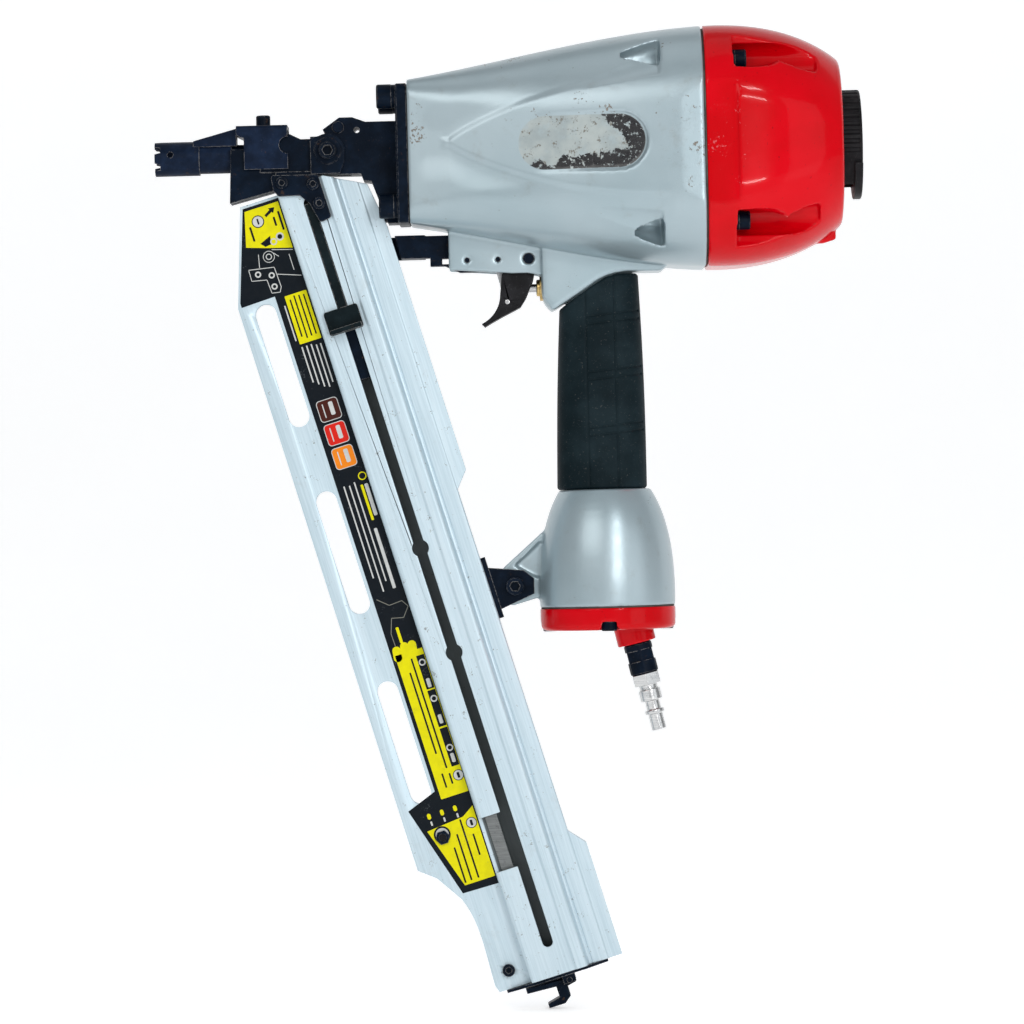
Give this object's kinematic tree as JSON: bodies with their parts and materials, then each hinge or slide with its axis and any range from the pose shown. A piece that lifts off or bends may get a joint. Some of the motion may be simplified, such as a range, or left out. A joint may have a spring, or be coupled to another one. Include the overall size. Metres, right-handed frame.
{
  "type": "pneumatic nail gun",
  "caption": "Air-powered framing nailer with a slanted stick magazine, spring pusher, finger trigger, safety contact foot and hose plug.",
  "frame": {"origin": "where the drive axis leaves the housing's nose face", "axes": "+X along the drive axis to the rear, +Z away from the handle, -Y is the side with the pusher tab"},
  "size_m": [0.3804, 0.1266, 0.5257],
  "materials": {
    "silver_paint": "satin silver-grey paint over a light-alloy casting, chipped at the edges",
    "red_paint": "glossy red paint over a light-alloy casting",
    "grip_rubber": "matt dark green-grey rubber",
    "black_steel": "black oxide with worn edges",
    "spring_steel": "bright spring wire",
    "bright_steel": "machined and zinc plated",
    "extrusion": "satin anodised extrusion with drawn streaks",
    "cast_aluminium": "machined aluminium",
    "black_plastic": "moulded black nylon",
    "white_plastic": "acetal valve parts",
    "seal_rubber": "nitrile seal",
    "bumper_rubber": "polyurethane bumper",
    "gasket_paper": "fibre gasket",
    "brass": "machined brass",
    "plug_steel": "nickel plated, scratched",
    "label_film": null
  },
  "bodies": {
    "frame": {"housing": "silver_paint", "grip_sleeve": "grip_rubber", "cylinder_cap": "red_paint", "cap_bolts": "black_steel", "deflector_screw": "black_steel", "cylinder_sleeve": "cast_aluminium", "cylinder_seal": "seal_rubber", "bumper": "bumper_rubber", "head_valve_spring": "spring_steel", "nose_body": "black_steel", "nose_bolts": "black_steel", "pivot_plate": "black_steel", "pivot_screw": "black_steel", "feed_cheeks": "black_steel", "contact_spring": "spring_steel", "trigger_spring": "spring_steel", "valve_body": "brass", "valve_spring": "spring_steel", "end_cap": "red_paint", "end_cap_screws": "black_steel", "inlet_filter": "bright_steel", "inlet_swivel": "black_steel", "magazine_channel": "extrusion", "window_plates": "extrusion", "point_rail": "extrusion", "steel_rails": "bright_steel", "magazine_label": "label_film", "corner_bracket": "black_steel", "feed_ribbon": "spring_steel", "tail_plate": "black_steel", "latch_pin": "black_steel", "tail_spacer": "cast_aluminium", "support_bracket": "black_steel", "support_bolt": "black_steel", "hex_nuts": "black_steel", "spring_washers": "black_steel", "gaskets": "gasket_paper", "bracket_pins": "black_steel", "magazine_screws": "black_steel"},
    "deflector": {"exhaust_deflector": "black_plastic"},
    "driver": {"piston": "cast_aluminium", "piston_ring": "seal_rubber", "driver_blade": "bright_steel"},
    "head_valve": {"head_valve": "white_plastic", "head_valve_seal": "seal_rubber"},
    "contact": {"work_contact": "black_steel", "contact_knob": "black_steel", "contact_arm": "black_steel"},
    "trigger": {"trigger": "black_plastic", "lever_pin": "bright_steel"},
    "lever": {"trigger_lever": "bright_steel"},
    "stem": {"valve_stem": "bright_steel"},
    "plug": {"air_plug": "plug_steel"},
    "pusher": {"pusher": "black_steel", "pusher_tab": "black_steel", "feed_spring": "spring_steel"},
    "latch": {"tail_latch": "black_steel"},
    "knob": {"angle_knob": "black_plastic"},
    "adjuster": {"adjusting_pin": "black_steel"}
  },
  "joints": [
    {"name": "driver_slide", "type": "slide", "parent": "frame", "child": "driver", "axis": [-1, 0, 0], "range_m": [0, 0.094]},
    {"name": "head_valve_lift", "type": "slide", "parent": "frame", "child": "head_valve", "axis": [1, 0, 0], "range_m": [0, 0.006], "deforming": ["head_valve_spring"]},
    {"name": "deflector_turn", "type": "hinge", "parent": "frame", "child": "deflector", "pos_m": [0.238, 0, 0], "axis": [1, 0, 0], "continuous": true},
    {"name": "contact_slide", "type": "slide", "parent": "frame", "child": "contact", "axis": [1, 0, 0], "range_m": [0, 0.012], "deforming": ["contact_spring"]},
    {"name": "trigger_pull", "type": "hinge", "parent": "frame", "child": "trigger", "pos_m": [0.063, 0, -0.0589], "axis": [0, -1, 0], "range_deg": [0, 12]},
    {"name": "lever_swing", "type": "hinge", "parent": "trigger", "child": "lever", "pos_m": [0.051, 0, -0.0818], "axis": [0, 1, 0], "range_deg": [0, 36.5]},
    {"name": "stem_press", "type": "slide", "parent": "frame", "child": "stem", "axis": [1, 0, 0], "range_m": [0, 0.003], "deforming": ["valve_spring"]},
    {"name": "plug_swivel", "type": "hinge", "parent": "frame", "child": "plug", "pos_m": [0.12, 0, -0.28399], "axis": [0.225, 0, -0.9744], "continuous": true},
    {"name": "pusher_slide", "type": "slide", "parent": "frame", "child": "pusher", "axis": [0.2823, 0, -0.9593], "range_m": [0, 0.325], "deforming": ["feed_ribbon"]},
    {"name": "latch_swing", "type": "hinge", "parent": "frame", "child": "latch", "pos_m": [0.07492, 0, -0.44745], "axis": [0, -1, 0], "range_deg": [0, 25]},
    {"name": "knob_turn", "type": "hinge", "parent": "frame", "child": "knob", "pos_m": [0.00861, 0.008, -0.3695], "axis": [0, 1, 0], "continuous": true},
    {"name": "adjuster_pull", "type": "slide", "parent": "frame", "child": "adjuster", "axis": [0, 1, 0], "range_m": [0, 0.018]}
  ],
  "couplings": [
    {"joint": "lever_swing", "follows": "contact_slide", "rad_per_m": 53.087},
    {"joint": "stem_press", "follows": "trigger_pull", "m_per_rad": 0.014324}
  ]
}
